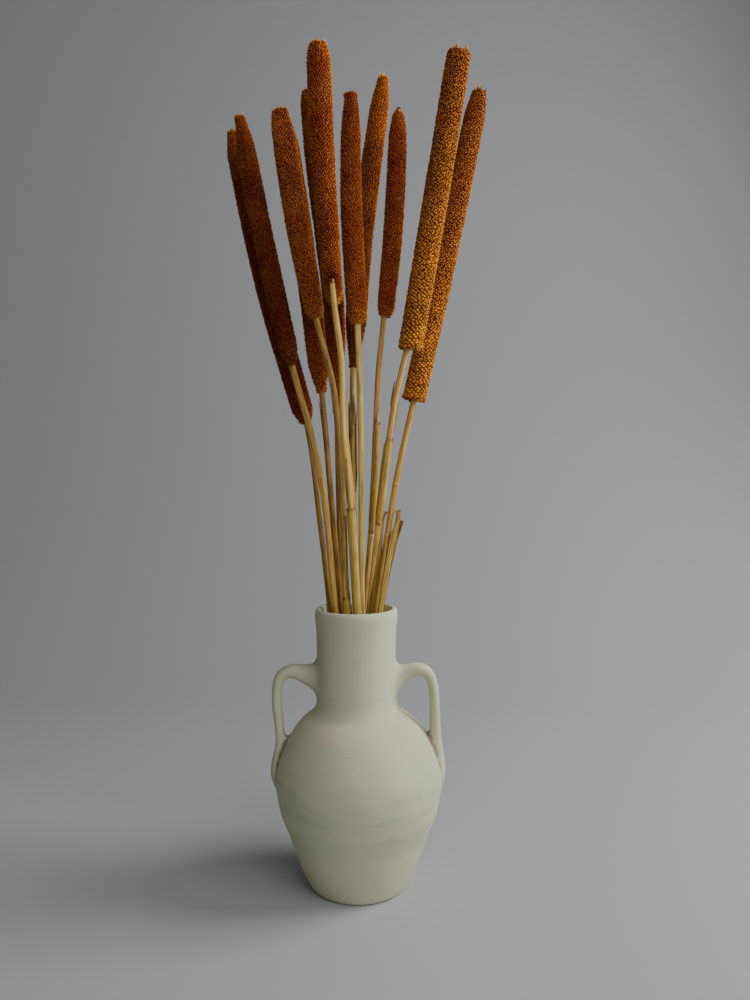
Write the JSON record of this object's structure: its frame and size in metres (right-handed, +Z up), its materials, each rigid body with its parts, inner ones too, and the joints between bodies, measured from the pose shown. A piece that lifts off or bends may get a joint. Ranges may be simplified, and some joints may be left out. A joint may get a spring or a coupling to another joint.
{
  "type": "dried grain stems in a vase",
  "caption": "Dried cylindrical seed spikes on straw stalks, some with torn leaf sheaths, fanning out of an unglazed clay vase with a tall neck and strap handles.",
  "frame": {"origin": "centre of the vase's flat foot, on the surface that it stands on", "axes": "+Z up, along the vase and the stems; the two handles lie along X; -Y is the side seen in the picture"},
  "size_m": [0.2152, 0.135, 0.6731],
  "materials": {
    "clay": "matte unglazed",
    "straw": "satin dried straw",
    "seed": "matte dried grain",
    "dry_leaf": "matte dried leaf"
  },
  "bodies": {
    "root": {"vase": "clay", "stalk_01": "straw", "stalk_02": "straw", "stalk_03": "straw", "stalk_04": "straw", "stalk_05": "straw", "stalk_06": "straw", "stalk_07": "straw", "stalk_08": "straw", "stalk_09": "straw", "stalk_10": "straw", "stalk_11": "straw", "head_01": "seed", "head_02": "seed", "head_03": "seed", "head_04": "seed", "head_05": "seed", "head_06": "seed", "head_07": "seed", "head_08": "seed", "head_09": "seed", "head_10": "seed", "head_11": "seed", "sheath_03": "dry_leaf", "sheath_06": "dry_leaf", "sheath_08": "dry_leaf", "sheath_09": "dry_leaf", "sheath_10": "dry_leaf", "sheath_11": "dry_leaf"}
  },
  "joints": []
}
